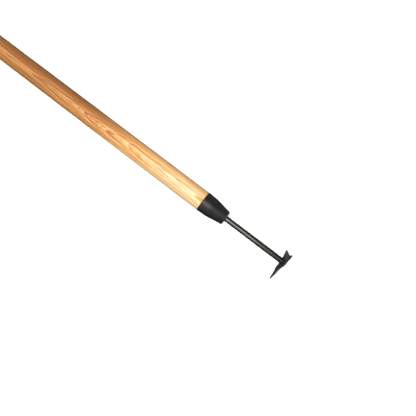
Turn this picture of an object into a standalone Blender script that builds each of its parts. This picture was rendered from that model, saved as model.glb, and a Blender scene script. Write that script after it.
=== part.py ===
"""Long-handled patio knife: an ash handle, a moulded collar, a steel shank and a three-pointed blade.

Metres, +Z up. The tool lies along X with its blade at +X. It rests on two points of the blade and on the
knob of the handle, and the origin is the middle of its bounding box at ground level.
Each piece is modelled along the tool's own axis, which is local +Z and runs from the knob to the blade.
"""

import math

import bmesh
import bpy
from mathutils import Vector

# Handle, turned from one length of ash
GRIP_LENGTH = 1.361
KNOB_DIAMETER = 0.0327
KNOB_FLARE_LENGTH = 0.25
WAIST_DIAMETER = 0.0286
SHOULDER_DIAMETER = 0.0315
SHOULDER_TAPER_LENGTH = 0.94
HANG_HOLE_DIAMETER = 0.013
HANG_HOLE_FROM_END = 0.0211

# Collar, a moulded cone that closes the end of the handle
COLLAR_LENGTH = 0.042
COLLAR_RIM_DIAMETER = 0.0322
COLLAR_KNEE_FROM_RIM = 0.0155
COLLAR_KNEE_DIAMETER = 0.0306
COLLAR_END_DIAMETER = 0.022
COLLAR_WALL = 0.0025
COLLAR_CORNER_RADIUS = 0.0022
COLLAR_KNEE_RADIUS = 0.03
COLLAR_EDGE_RADIUS = 0.0004

# Shank, one steel rod with a tang, a spigot and a peened end
ROD_DIAMETER = 0.0087
ROD_REACH = 0.1064
TANG_LENGTH = 0.085
TANG_TIP_DIAMETER = 0.005
TANG_TAPER_LENGTH = 0.06
SPIGOT_DIAMETER = 0.0064
PEEN_DIAMETER = 0.0077
PEEN_HEIGHT = 0.0009
CENTRE_HOLE_DIAMETER = 0.0042
CENTRE_HOLE_DEPTH = 0.0035
CENTRE_HOLE_CHAMFER = 0.0004

# Blade, pressed from plate, with a creased beak and two wings
PLATE_THICKNESS = 0.0017
BEAK_REACH = 0.0312
BEAK_TIP_WIDTH = 0.0022
BEAK_SHOULDER_REACH = 0.018
BEAK_SHOULDER_WIDTH = 0.0098
BEAK_HOLLOWNESS = 1.2
WING_REACH = 0.0335
WING_ANGLE = math.radians(121)
WING_TIP_RADIUS = 0.0010
NOTCH_REACH = 0.013
BLADE_EDGE_BEVEL = 0.0004
BEAK_FALL = 0.0022
BEAK_FALL_GROWTH = 1.5
WING_SWEEP_ANGLE = math.radians(6.5)
BEAK_CREASE_ANGLE = math.radians(60)
CREASE_GROWTH = 1.25
CREASE_RADIUS = 0.0012
SEAT_BLEND_LENGTH = 0.005
SEAT_MARGIN = 0.0003

# Washer under the peened end
WASHER_DIAMETER = 0.0138
WASHER_EDGE_HEIGHT = 0.0006
WASHER_CROWN_HEIGHT = 0.0013
WASHER_EDGE_RADIUS = 0.0003

CLEARANCE = 0.0003
END_CLEARANCE = 0.0005

# Facets round each turned piece and along each curve
HANDLE_SIDES = 48
COLLAR_SIDES = 48
SHANK_SIDES = 32
WASHER_SIDES = 40
FILLET_STEPS = 4
FLARE_STEPS = 12
TAPER_STEPS = 14
KNOB_STEPS = 8
BLADE_RINGS = 9
WING_EDGE_STEPS = 10
BEAK_EDGE_STEPS = 7
NOTCH_EDGE_STEPS = 7
TIP_STEPS = 3

# Stations along the tool's axis, from the tip of the knob
RIM_STATION = GRIP_LENGTH
COLLAR_END_STATION = RIM_STATION + COLLAR_LENGTH
ROD_SHOULDER_STATION = COLLAR_END_STATION + ROD_REACH - CLEARANCE
PLATE_BACK_STATION = ROD_SHOULDER_STATION + CLEARANCE
PLATE_FRONT_STATION = PLATE_BACK_STATION + PLATE_THICKNESS
WASHER_BACK_STATION = PLATE_FRONT_STATION + CLEARANCE
WASHER_FRONT_STATION = WASHER_BACK_STATION + WASHER_CROWN_HEIGHT
PEEN_STATION = WASHER_FRONT_STATION + CLEARANCE
SPIGOT_HOLE_DIAMETER = SPIGOT_DIAMETER + 2 * CLEARANCE


def empty_scene():
    for obj in list(bpy.data.objects):
        bpy.data.objects.remove(obj, do_unlink=True)


def new_collection(name):
    collection = bpy.data.collections.new(name)
    bpy.context.scene.collection.children.link(collection)
    return collection


def material(name, colour, roughness, metallic=0.0):
    mat = bpy.data.materials.new(name)
    mat.use_nodes = True
    shader = mat.node_tree.nodes["Principled BSDF"]
    shader.inputs["Base Color"].default_value = (*colour, 1.0)
    shader.inputs["Roughness"].default_value = roughness
    shader.inputs["Metallic"].default_value = metallic
    mat.diffuse_color = (*colour, 1.0)
    return mat


def smoothstep(t):
    t = min(max(t, 0.0), 1.0)
    return t * t * (3 - 2 * t)


def fillet(before, corner, after, radius):
    """Points of the arc that rounds the corner between two straight stretches."""
    into = (before - corner).normalized()
    out = (after - corner).normalized()
    half_angle = into.angle(out) / 2
    reach = radius / math.tan(half_angle)
    limit = 0.49 * min((before - corner).length, (after - corner).length)
    reach = min(reach, limit)
    radius = reach * math.tan(half_angle)
    centre = corner + (into + out).normalized() * (radius / math.sin(half_angle))
    start = corner + into * reach - centre
    end = corner + out * reach - centre
    turn = start.angle_signed(end)
    points = []
    for step in range(FILLET_STEPS + 1):
        angle = -turn * step / FILLET_STEPS
        spoke = Vector(
            (
                start.x * math.cos(angle) - start.y * math.sin(angle),
                start.x * math.sin(angle) + start.y * math.cos(angle),
            )
        )
        points.append(centre + spoke)
    return points


def rounded(corners, closed=False):
    """A profile from (radius from the axis, station, fillet radius) corners."""
    places = [Vector(corner[:2]) for corner in corners]
    points = []
    for index, (place, corner) in enumerate(zip(places, corners)):
        at_end = not closed and index in (0, len(corners) - 1)
        if corner[2] == 0 or at_end:
            points.append(place)
            continue
        after = places[(index + 1) % len(places)]
        points += fillet(places[index - 1], place, after, corner[2])
    return points


def turned(name, profile, sides, mat, collection, closed=False):
    """A solid turned about local Z. The profile runs down its outer side, and back up a bore if closed."""
    count = len(profile)
    edges = [(i, i + 1) for i in range(count - 1)]
    if closed:
        edges.append((count - 1, 0))
    mesh = bpy.data.meshes.new(name)
    mesh.from_pydata([(point.x, 0.0, point.y) for point in profile], edges, [])
    mesh.materials.append(mat)
    obj = bpy.data.objects.new(name, mesh)
    collection.objects.link(obj)
    screw = obj.modifiers.new("turn", "SCREW")
    screw.axis = "Z"
    screw.steps = sides
    screw.render_steps = sides
    screw.use_merge_vertices = True
    screw.merge_threshold = 0.00001
    screw.use_smooth_shade = True
    return obj


def collar_outer_side():
    """The collar's outer side as drawn corners, from the rod end down to the rim."""
    return [
        (COLLAR_END_DIAMETER / 2, COLLAR_END_STATION, COLLAR_CORNER_RADIUS),
        (COLLAR_KNEE_DIAMETER / 2, RIM_STATION + COLLAR_KNEE_FROM_RIM, COLLAR_KNEE_RADIUS),
        (COLLAR_RIM_DIAMETER / 2, RIM_STATION, COLLAR_EDGE_RADIUS),
    ]


def socket_side(offset, end_station):
    """The collar's outer side moved inward, which shapes its socket and the tenon that fills it."""
    end, knee, rim = collar_outer_side()
    slope = (knee[0] - end[0]) / (end[1] - knee[1])
    end_radius = end[0] + slope * (end[1] - end_station) - offset
    return [
        (end_radius, end_station, COLLAR_CORNER_RADIUS / 2),
        (knee[0] - offset, knee[1], knee[2]),
        (rim[0] - offset, rim[1], 0),
    ]


def make_collar(mat, collection):
    rod_hole = ROD_DIAMETER / 2 + CLEARANCE
    end, knee, rim = collar_outer_side()
    socket_end = COLLAR_END_STATION - COLLAR_WALL
    socket = socket_side(COLLAR_WALL, socket_end)
    corners = [(rod_hole, COLLAR_END_STATION, 0), end, knee, rim]
    corners += list(reversed(socket)) + [(rod_hole, socket_end, 0)]
    return turned("collar", rounded(corners, closed=True), COLLAR_SIDES, mat, collection, closed=True)


def grip_radius(station):
    """The handle's radius: it narrows from the knob to the waist, then swells towards the collar."""
    waist = WAIST_DIAMETER / 2
    knob = (KNOB_DIAMETER / 2 - waist) * (1 - smoothstep(station / KNOB_FLARE_LENGTH))
    from_rim = RIM_STATION - station
    shoulder = (SHOULDER_DIAMETER / 2 - waist) * (1 - smoothstep(from_rim / SHOULDER_TAPER_LENGTH))
    return waist + knob + shoulder


def make_handle(mat, collection, cutters):
    """The handle with its tenon, the bore for the tang and the hanging hole, and the cutter of that hole."""
    tenon_end = COLLAR_END_STATION - COLLAR_WALL - END_CLEARANCE
    tang_tip = COLLAR_END_STATION - TANG_LENGTH
    bore_bottom = tang_tip - END_CLEARANCE
    rod_bore = ROD_DIAMETER / 2 + CLEARANCE
    tip_bore = TANG_TIP_DIAMETER / 2 + CLEARANCE
    tenon = rounded([(rod_bore, tenon_end, 0)] + socket_side(COLLAR_WALL + CLEARANCE, tenon_end))
    shoulder_station = RIM_STATION - CLEARANCE
    tenon[-1].y = shoulder_station
    knob_radius = grip_radius(KNOB_DIAMETER / 2)

    side = []
    taper_start = RIM_STATION - SHOULDER_TAPER_LENGTH
    for step in range(TAPER_STEPS + 1):
        station = shoulder_station + (taper_start - shoulder_station) * step / TAPER_STEPS
        side.append(Vector((grip_radius(station), station)))
    for step in range(FLARE_STEPS):
        station = KNOB_FLARE_LENGTH + (knob_radius - KNOB_FLARE_LENGTH) * step / FLARE_STEPS
        side.append(Vector((grip_radius(station), station)))
    for step in range(KNOB_STEPS + 1):
        angle = math.pi / 2 * step / KNOB_STEPS
        place = (knob_radius * math.cos(angle), knob_radius * (1 - math.sin(angle)))
        side.append(Vector(place))
    side[-1].x = 0.0

    bore = [
        Vector((0.0, bore_bottom)),
        Vector((tip_bore, bore_bottom)),
        Vector((rod_bore, tang_tip + TANG_TAPER_LENGTH)),
    ]
    handle = turned("handle", bore + tenon + side, HANDLE_SIDES, mat, collection)

    bpy.ops.mesh.primitive_cylinder_add(
        vertices=SHANK_SIDES, radius=HANG_HOLE_DIAMETER / 2, depth=2 * KNOB_DIAMETER
    )
    drill = bpy.context.active_object
    drill.name = "hanging_hole_cutter"
    for old in list(drill.users_collection):
        old.objects.unlink(drill)
    cutters.objects.link(drill)
    drill.location = (0, 0, HANG_HOLE_FROM_END)
    drill.rotation_euler = (0, math.pi / 2, 0)
    drill.hide_render = True
    drill.display_type = "WIRE"
    cut = handle.modifiers.new("hanging hole", "BOOLEAN")
    cut.operation = "DIFFERENCE"
    cut.object = drill
    return handle, drill


def make_shank(mat, collection):
    rod = ROD_DIAMETER / 2
    spigot = SPIGOT_DIAMETER / 2
    peen = PEEN_DIAMETER / 2
    hole = CENTRE_HOLE_DIAMETER / 2
    front = PEEN_STATION
    tang_tip = COLLAR_END_STATION - TANG_LENGTH
    corners = [
        (0, front - CENTRE_HOLE_DEPTH - hole / 2, 0),
        (hole, front - CENTRE_HOLE_DEPTH, 0),
        (hole, front - CENTRE_HOLE_CHAMFER, 0),
        (hole + CENTRE_HOLE_CHAMFER, front, 0),
        (peen, front, PEEN_HEIGHT / 2),
        (peen, front - PEEN_HEIGHT / 2, 0),
        (spigot, front - PEEN_HEIGHT, 0),
        (spigot, ROD_SHOULDER_STATION, 0),
        (rod, ROD_SHOULDER_STATION, CLEARANCE),
        (rod, tang_tip + TANG_TAPER_LENGTH, 0),
        (TANG_TIP_DIAMETER / 2, tang_tip, 0),
        (0, tang_tip, 0),
    ]
    return turned("shank", rounded(corners), SHANK_SIDES, mat, collection)


def make_washer(mat, collection):
    """A crowned washer, countersunk where the peened end of the spigot sits in it."""
    bore = SPIGOT_HOLE_DIAMETER / 2
    sink = PEEN_DIAMETER / 2 + CLEARANCE
    edge = WASHER_DIAMETER / 2
    edge_station = WASHER_BACK_STATION + WASHER_EDGE_HEIGHT
    crown = []
    for step in range(FILLET_STEPS + 1):
        share = step / FILLET_STEPS
        radius = sink + (edge - WASHER_EDGE_RADIUS - sink) * share
        fall = (WASHER_FRONT_STATION - edge_station) * share * share
        crown.append(Vector((radius, WASHER_FRONT_STATION - fall)))
    rim = rounded(
        [
            (crown[-1].x, crown[-1].y, 0),
            (edge, edge_station, WASHER_EDGE_RADIUS),
            (edge, WASHER_BACK_STATION, 0),
            (bore, WASHER_BACK_STATION, 0),
        ]
    )
    sink_side = [
        Vector((bore, PEEN_STATION - PEEN_HEIGHT - CLEARANCE)),
        Vector((sink, PEEN_STATION - PEEN_HEIGHT / 2 - CLEARANCE)),
    ]
    return turned("washer", crown + rim[1:] + sink_side, WASHER_SIDES, mat, collection, closed=True)


def blade_edge():
    """Half of the blade's outline, as (along the beak, to the side), from the notch to the beak's tip."""
    wing = Vector((math.cos(WING_ANGLE), math.sin(WING_ANGLE))) * WING_REACH
    notch = Vector((-NOTCH_REACH, 0.0))
    shoulder = Vector((BEAK_SHOULDER_REACH, BEAK_SHOULDER_WIDTH / 2))
    into = (notch - wing).normalized()
    out = (shoulder - wing).normalized()
    half_angle = into.angle(out) / 2
    reach = WING_TIP_RADIUS / math.tan(half_angle)
    centre = wing + (into + out).normalized() * (WING_TIP_RADIUS / math.sin(half_angle))
    arc_start = wing + into * reach
    arc_end = wing + out * reach
    points = [notch.lerp(arc_start, step / NOTCH_EDGE_STEPS) for step in range(NOTCH_EDGE_STEPS)]
    for step in range(TIP_STEPS + 1):
        spoke = (arc_start - centre).lerp(arc_end - centre, step / TIP_STEPS)
        points.append(centre + spoke.normalized() * WING_TIP_RADIUS)
    points += [arc_end.lerp(shoulder, step / WING_EDGE_STEPS) for step in range(1, WING_EDGE_STEPS)]
    tip_half = BEAK_TIP_WIDTH / 2
    straight_end = BEAK_REACH - tip_half / 2
    for step in range(BEAK_EDGE_STEPS + 1):
        share = step / BEAK_EDGE_STEPS
        along = BEAK_SHOULDER_REACH + (straight_end - BEAK_SHOULDER_REACH) * share
        narrowing = (1 - share) ** BEAK_HOLLOWNESS
        points.append(Vector((along, tip_half + (BEAK_SHOULDER_WIDTH / 2 - tip_half) * narrowing)))
    points.append(Vector((BEAK_REACH, tip_half / 2)))
    return points


def press_depth(along, side):
    """How far the pressing moves the plate forward of its flat seat, at a point of its outline plane."""
    seat = WASHER_DIAMETER / 2 + SEAT_MARGIN
    free = smoothstep((math.hypot(along, side) - seat) / SEAT_BLEND_LENGTH)
    fall = BEAK_FALL * (max(along - seat, 0.0) / (BEAK_REACH - seat)) ** BEAK_FALL_GROWTH
    towards_tip = min(max(along / BEAK_REACH, 0.0), 1.0) ** CREASE_GROWTH
    crease = WING_SWEEP_ANGLE + (BEAK_CREASE_ANGLE - WING_SWEEP_ANGLE) * towards_tip
    across = math.hypot(side, CREASE_RADIUS) - CREASE_RADIUS
    return -fall - free * math.tan(crease) * across


def blade_roll():
    """The turn about the tool's axis that sets the beak and one wing level on the ground."""
    wing_along = WING_REACH * math.cos(WING_ANGLE)
    wing_side = WING_REACH * math.sin(WING_ANGLE)
    return -math.atan2(BEAK_REACH - wing_along, wing_side)


def make_blade(mat, collection):
    """The plate's front face is lofted from the spigot hole to the outline, pressed and drawn back to a plate."""
    half = blade_edge()
    mirrored = [Vector((point.x, -point.y)) for point in reversed(half[1:])]
    outline = half + mirrored
    hole = SPIGOT_HOLE_DIAMETER / 2
    mesh = bpy.data.meshes.new("blade")
    plate = bmesh.new()
    rings = []
    for ring in range(BLADE_RINGS + 1):
        share = ring / BLADE_RINGS
        verts = []
        for point in outline:
            inner = point.normalized() * hole
            place = inner.lerp(point, share)
            height = PLATE_FRONT_STATION + press_depth(place.x, place.y)
            verts.append(plate.verts.new((place.x, place.y, height)))
        rings.append(verts)
    count = len(outline)
    for inner, outer in zip(rings, rings[1:]):
        for index in range(count):
            following = (index + 1) % count
            plate.faces.new((inner[index], inner[following], outer[following], outer[index]))
    drawn = bmesh.ops.extrude_face_region(plate, geom=plate.faces[:])["geom"]
    back = [part for part in drawn if isinstance(part, bmesh.types.BMVert)]
    bmesh.ops.translate(plate, verts=back, vec=(0, 0, -PLATE_THICKNESS))
    bmesh.ops.recalc_face_normals(plate, faces=plate.faces)
    plate.to_mesh(mesh)
    plate.free()
    mesh.materials.append(mat)
    blade = bpy.data.objects.new("blade", mesh)
    collection.objects.link(blade)
    blade.rotation_euler = (0, 0, blade_roll())
    edges = blade.modifiers.new("edges", "BEVEL")
    edges.width = BLADE_EDGE_BEVEL
    edges.segments = 1
    edges.limit_method = "ANGLE"
    edges.angle_limit = math.radians(50)
    return blade


def stand_on_ground(parts, tool_axis):
    """Moves the tool so that the middle of its box is over the origin and its lowest point is at height 0."""
    bpy.context.view_layer.update()
    graph = bpy.context.evaluated_depsgraph_get()
    low = Vector((math.inf, math.inf, math.inf))
    high = -low
    for part in parts:
        shape = part.evaluated_get(graph)
        for vertex in shape.data.vertices:
            place = shape.matrix_world @ vertex.co
            low = Vector(map(min, low, place))
            high = Vector(map(max, high, place))
    tool_axis.location -= Vector(((low.x + high.x) / 2, (low.y + high.y) / 2, low.z))


def main():
    empty_scene()
    parts_collection = new_collection("patio_knife")
    cutters = new_collection("patio_knife_cutters")

    ash = material("ash", (0.78, 0.56, 0.30), 0.45)
    plastic = material("black_plastic", (0.018, 0.020, 0.020), 0.42)
    rod_steel = material("shank_steel", (0.10, 0.095, 0.09), 0.35, 0.9)
    blade_steel = material("blade_steel", (0.14, 0.13, 0.125), 0.42, 0.9)
    washer_steel = material("washer_steel", (0.20, 0.20, 0.19), 0.35, 0.9)

    handle, drill = make_handle(ash, parts_collection, cutters)
    parts = [
        handle,
        make_collar(plastic, parts_collection),
        make_shank(rod_steel, parts_collection),
        make_blade(blade_steel, parts_collection),
        make_washer(washer_steel, parts_collection),
    ]

    tool_axis = bpy.data.objects.new("tool_axis", None)
    parts_collection.objects.link(tool_axis)
    tool_axis.rotation_euler = (0, math.pi / 2, 0)
    for obj in parts + [drill]:
        obj.parent = tool_axis
    stand_on_ground(parts, tool_axis)


main()
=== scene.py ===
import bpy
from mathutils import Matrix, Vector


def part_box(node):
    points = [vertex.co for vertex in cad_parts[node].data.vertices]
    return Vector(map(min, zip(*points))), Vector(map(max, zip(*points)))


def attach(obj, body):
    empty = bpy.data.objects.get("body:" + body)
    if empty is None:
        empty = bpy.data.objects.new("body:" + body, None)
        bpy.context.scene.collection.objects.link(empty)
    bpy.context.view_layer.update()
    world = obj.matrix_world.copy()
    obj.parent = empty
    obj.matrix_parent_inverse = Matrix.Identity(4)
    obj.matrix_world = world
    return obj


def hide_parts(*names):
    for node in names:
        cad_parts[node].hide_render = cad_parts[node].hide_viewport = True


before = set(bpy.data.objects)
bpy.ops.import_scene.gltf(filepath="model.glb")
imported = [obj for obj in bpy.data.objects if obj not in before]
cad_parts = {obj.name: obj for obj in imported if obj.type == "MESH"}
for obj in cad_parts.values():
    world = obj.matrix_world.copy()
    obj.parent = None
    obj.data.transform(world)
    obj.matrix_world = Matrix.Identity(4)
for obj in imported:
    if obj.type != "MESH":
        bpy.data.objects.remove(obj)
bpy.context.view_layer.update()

import math

import bmesh
import bpy
from mathutils import Matrix, Vector

# Handle
# A straight length of ash, turned to a gentle waist and finished with a clear satin varnish. Its tenon is
# pushed into the collar, its bore takes the tang, and a hanging hole crosses its knob.
GRIP_LENGTH = 1.361
KNOB_DIAMETER = 0.0327
KNOB_FLARE_LENGTH = 0.25
WAIST_DIAMETER = 0.0286
SHOULDER_DIAMETER = 0.0315
SHOULDER_TAPER_LENGTH = 0.94
HANG_HOLE_DIAMETER = 0.013
HANG_HOLE_FROM_END = 0.0211
HANG_HOLE_EASING = 0.0011
HANG_HOLE_EASING_DEPTH = 2.2 * HANG_HOLE_EASING
KNOB_FINE_LENGTH = 2.6 * HANG_HOLE_FROM_END
PIECE_GAP = 0.0003
TENON_END_GAP = 0.0005
HANDLE_SIDES = 128
HANDLE_STEP = 0.011
KNOB_STEP = 0.0011
KNOB_STEPS = 20
TENON_EASING_STEPS = 6
HOLE_SIDES = 96
HOLE_FLARE_STEPS = 6
HANDLE_CREASE_ANGLE = 38
EASING_REACH_LIMIT = 0.49
MERGE_DISTANCE = 0.000002

shank_low, shank_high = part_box("shank")
AXIS_Y = (shank_low.y + shank_high.y) / 2
AXIS_Z = (shank_low.z + shank_high.z) / 2
KNOB_TIP_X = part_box("handle")[0].x

COLLAR_LENGTH = 0.042
COLLAR_RIM_DIAMETER = 0.0322
COLLAR_KNEE_FROM_RIM = 0.0155
COLLAR_KNEE_DIAMETER = 0.0306
COLLAR_END_DIAMETER = 0.022
COLLAR_WALL = 0.0025
COLLAR_CORNER_RADIUS = 0.0022
COLLAR_KNEE_RADIUS = 0.03
COLLAR_EDGE_RADIUS = 0.0004
ROD_DIAMETER = 0.0087
TANG_LENGTH = 0.085
TANG_TIP_DIAMETER = 0.005
TANG_TAPER_LENGTH = 0.06

COLLAR_END = GRIP_LENGTH + COLLAR_LENGTH
TANG_TIP = COLLAR_END - TANG_LENGTH


def smoothstep(share):
    share = min(max(share, 0.0), 1.0)
    return share * share * (3 - 2 * share)


def grip_radius(station):
    """The handle's radius: it narrows from the knob to the waist, then swells towards the collar."""
    waist = WAIST_DIAMETER / 2
    knob = (KNOB_DIAMETER / 2 - waist) * (1 - smoothstep(station / KNOB_FLARE_LENGTH))
    from_rim = GRIP_LENGTH - station
    shoulder = (SHOULDER_DIAMETER / 2 - waist) * (1 - smoothstep(from_rim / SHOULDER_TAPER_LENGTH))
    return waist + knob + shoulder


def eased(before, corner, after, radius, steps):
    """Points of the arc that rounds a corner of a turned profile."""
    into, out = before - corner, after - corner
    longest = EASING_REACH_LIMIT * into.length, EASING_REACH_LIMIT * out.length
    into.normalize()
    out.normalize()
    half_angle = into.angle(out) / 2
    reach = min(radius / math.tan(half_angle), *longest)
    radius = reach * math.tan(half_angle)
    centre = corner + (into + out).normalized() * (radius / math.sin(half_angle))
    start = corner + into * reach - centre
    end = corner + out * reach - centre
    turn = start.angle_signed(end)
    points = []
    for step in range(steps + 1):
        spoke = start.copy()
        spoke.rotate(Matrix.Rotation(-turn * step / steps, 2))
        points.append(centre + spoke)
    return points


def eased_profile(corners, steps, closed=False):
    """A turned profile as (station, radius) points from (radius, station, easing radius) corners."""
    places = [Vector((corner[1], corner[0])) for corner in corners]
    points = []
    for index, (place, corner) in enumerate(zip(places, corners)):
        at_end = not closed and index in (0, len(corners) - 1)
        if corner[2] == 0 or at_end:
            points.append(place)
            continue
        after = places[(index + 1) % len(places)]
        points += eased(places[index - 1], place, after, corner[2], steps)
    return points


def spin_round(points, centre, axis, sides, closed=False):
    """Spins a line of points right round an axis into a shape whose faces look outwards."""
    lathe = bmesh.new()
    line = [lathe.verts.new(point) for point in points]
    pairs = list(zip(line, line[1:]))
    if closed:
        pairs.append((line[-1], line[0]))
    edges = [lathe.edges.new(pair) for pair in pairs]
    bmesh.ops.spin(
        lathe, geom=line + edges, cent=centre, axis=axis, angle=math.tau, steps=sides, use_merge=True
    )
    bmesh.ops.remove_doubles(lathe, verts=lathe.verts, dist=MERGE_DISTANCE)
    bmesh.ops.recalc_face_normals(lathe, faces=lathe.faces)
    return lathe


def turn_round_axis(profile, sides, closed=False):
    """Spins a profile of (station, radius) points round the tool's axis."""
    points = [(KNOB_TIP_X + place.x, AXIS_Y, AXIS_Z + place.y) for place in profile]
    return spin_round(points, (0, AXIS_Y, AXIS_Z), (1, 0, 0), sides, closed)


def new_object(name, data):
    made = bpy.data.objects.new(name, data)
    bpy.context.scene.collection.objects.link(made)
    return made


def new_piece(name, shape):
    """Makes a worked shape an object of the scene."""
    mesh = bpy.data.meshes.new(name)
    shape.to_mesh(mesh)
    shape.free()
    return new_object(name, mesh)


def smooth_between_creases(mesh, crease_angle):
    mesh.shade_smooth()
    mesh.set_sharp_from_angle(angle=math.radians(crease_angle))


def finished_piece(name, shape, finish, crease_angle):
    """A piece of the tool, smooth but for its creases, with its finish on it."""
    piece = new_piece(name, shape)
    smooth_between_creases(piece.data, crease_angle)
    piece.data.materials.append(finish)
    return piece


def collar_side(inset, end_station):
    """The collar's outer side, or its socket when inset, as corners from the rod end down to the rim."""
    rim = (COLLAR_RIM_DIAMETER / 2, GRIP_LENGTH)
    knee = (COLLAR_KNEE_DIAMETER / 2, GRIP_LENGTH + COLLAR_KNEE_FROM_RIM)
    slope = (knee[0] - COLLAR_END_DIAMETER / 2) / (COLLAR_END - knee[1])
    end_radius = COLLAR_END_DIAMETER / 2 + slope * (COLLAR_END - end_station) - inset
    return [
        (end_radius, end_station, COLLAR_CORNER_RADIUS / (2 if inset else 1)),
        (knee[0] - inset, knee[1], COLLAR_KNEE_RADIUS),
        (rim[0] - inset, rim[1], 0 if inset else COLLAR_EDGE_RADIUS),
    ]


def evenly(start, end, step):
    """Stations from one to just before another, as near to a step apart as fits."""
    count = round((start - end) / step)
    return [start + (end - start) * index / count for index in range(count)]


def handle_profile():
    """From the bottom of the tang's bore, over the tenon and down the grip to the tip of the knob."""
    bore_bottom = TANG_TIP - TENON_END_GAP
    tenon_end = COLLAR_END - COLLAR_WALL - TENON_END_GAP
    shoulder = GRIP_LENGTH - PIECE_GAP
    rod_bore = ROD_DIAMETER / 2 + PIECE_GAP
    profile = [
        Vector((bore_bottom, 0)),
        Vector((bore_bottom, TANG_TIP_DIAMETER / 2 + PIECE_GAP)),
        Vector((TANG_TIP + TANG_TAPER_LENGTH, rod_bore)),
    ]
    corners = [(rod_bore, tenon_end, 0)] + collar_side(COLLAR_WALL + PIECE_GAP, tenon_end)
    tenon = eased_profile(corners, TENON_EASING_STEPS)
    tenon[-1].x = shoulder
    profile += tenon
    knob_radius = grip_radius(KNOB_DIAMETER / 2)
    stations = evenly(shoulder, KNOB_FINE_LENGTH, HANDLE_STEP)
    stations += evenly(KNOB_FINE_LENGTH, knob_radius, KNOB_STEP)
    profile += [Vector((station, grip_radius(station))) for station in stations]
    for step in range(KNOB_STEPS):
        angle = math.pi / 2 * step / KNOB_STEPS
        profile.append(Vector((knob_radius * (1 - math.sin(angle)), knob_radius * math.cos(angle))))
    profile.append(Vector((0, 0)))
    return profile


def hanging_hole_drill():
    """The drill for the hanging hole, flared where sanding has eased the hole's two rims."""
    radius = HANG_HOLE_DIAMETER / 2
    surface = KNOB_DIAMETER / 2
    flare = [(radius, surface - HANG_HOLE_EASING_DEPTH)]
    for step in range(1, HOLE_FLARE_STEPS + 1):
        share = step / HOLE_FLARE_STEPS
        flare.append((radius + HANG_HOLE_EASING * share**2, surface - HANG_HOLE_EASING_DEPTH * (1 - share)))
    flare.append((radius + 3 * HANG_HOLE_EASING, surface + 2 * HANG_HOLE_EASING))
    side = [(out, -height) for out, height in reversed(flare)] + flare
    side = [(0, side[0][1])] + side + [(0, side[-1][1])]
    centre = Vector((KNOB_TIP_X + HANG_HOLE_FROM_END, AXIS_Y, AXIS_Z))
    points = [centre + Vector((out, 0, height)) for out, height in side]
    return new_piece("hanging_hole_drill", spin_round(points, centre, (0, 0, 1), HOLE_SIDES))


def set_inputs(tree, node, values):
    """Sets a node's inputs. A value that is another node's socket is linked."""
    for name, value in values.items():
        if isinstance(value, bpy.types.NodeSocket):
            tree.links.new(value, node.inputs[name])
        else:
            node.inputs[name].default_value = value


def add_node(tree, kind, values=None, **settings):
    """A new node of a finish, with its settings and the values of its inputs."""
    made = tree.nodes.new("ShaderNode" + kind)
    for name, value in settings.items():
        setattr(made, name, value)
    set_inputs(tree, made, values or {})
    return made


def calc(tree, operation, *values):
    return add_node(tree, "Math", dict(enumerate(values)), operation=operation).outputs[0]


def times(tree, *values):
    """The product of two or more values."""
    product = values[0]
    for value in values[1:]:
        product = calc(tree, "MULTIPLY", product, value)
    return product


def plus(tree, base, value, factor):
    """A base value plus a factor times another value."""
    return calc(tree, "MULTIPLY_ADD", value, factor, base)


def distance(tree, first, second):
    """The distance that two distances square to each other make."""
    return calc(tree, "SQRT", calc(tree, "ADD", times(tree, first, first), times(tree, second, second)))


def noise(tree, place, stretch, detail=2.0, roughness=0.5):
    """Noise that repeats so many times a metre along each axis of a place."""
    stretched = add_node(tree, "VectorMath", {0: place, 1: stretch}, operation="MULTIPLY").outputs[0]
    values = {"Vector": stretched, "Scale": 1.0, "Detail": detail, "Roughness": roughness}
    return add_node(tree, "TexNoise", values).outputs["Fac"]


def fade(tree, value, start, end, low=0.0, high=1.0):
    """Goes smoothly from low, where the value is at start, to high, where it is at end."""
    values = {"Value": value, "From Min": start, "From Max": end, "To Min": low, "To Max": high}
    return add_node(tree, "MapRange", values, interpolation_type="SMOOTHSTEP").outputs["Result"]


def band(tree, value, one_side, other_side):
    """1 in a band of values and 0 outside it. Each side fades in from its first value to its second."""
    return times(tree, fade(tree, value, *one_side), fade(tree, value, *other_side))


def tint(tree, share, first, second):
    """The first colour, mixed with the second one by a share."""
    return add_node(tree, "Mix", {0: share, 6: first, 7: second}, data_type="RGBA").outputs[2]


def layered(tree, shade, layers):
    """A colour under layers of other ones, each laid on by its share."""
    for share, layer in layers:
        shade = tint(tree, share, shade, layer)
    return shade


def colour(red, green, blue):
    return (red, green, blue, 1.0)


def ramp(tree, value, stops):
    """Colours set at places between 0 and 1, with a smooth change from each to the next."""
    made = add_node(tree, "ValToRGB", {0: value})
    made.color_ramp.interpolation = "EASE"
    for _ in range(len(stops) - 2):
        made.color_ramp.elements.new(0.5)
    for element, (place, shade) in zip(made.color_ramp.elements, stops):
        element.position = place
        element.color = shade
    return made.outputs["Color"]


def parts_of(tree, vector):
    return tuple(add_node(tree, "SeparateXYZ", {0: vector}).outputs)


def measured_from(tree, where, place, turn, scale=(1, 1, 1)):
    """A point of the piece, measured from another place, after a turn about the tool's length."""
    values = {"Vector": where, "Location": place, "Rotation": (turn, 0, 0), "Scale": scale}
    return add_node(tree, "Mapping", values, vector_type="TEXTURE").outputs[0]


def facing_along(tree):
    """1 on a surface that faces the way of the blade, -1 on one that faces the way of the knob."""
    return parts_of(tree, add_node(tree, "NewGeometry").outputs["Normal"])[0]


def start_finish(name):
    """A new finish, its nodes, and the place of each point of the piece that wears it, in metres."""
    finish = bpy.data.materials.new(name)
    finish.use_nodes = True
    tree = finish.node_tree
    return finish, tree, add_node(tree, "TexCoord").outputs["Object"]


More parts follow.
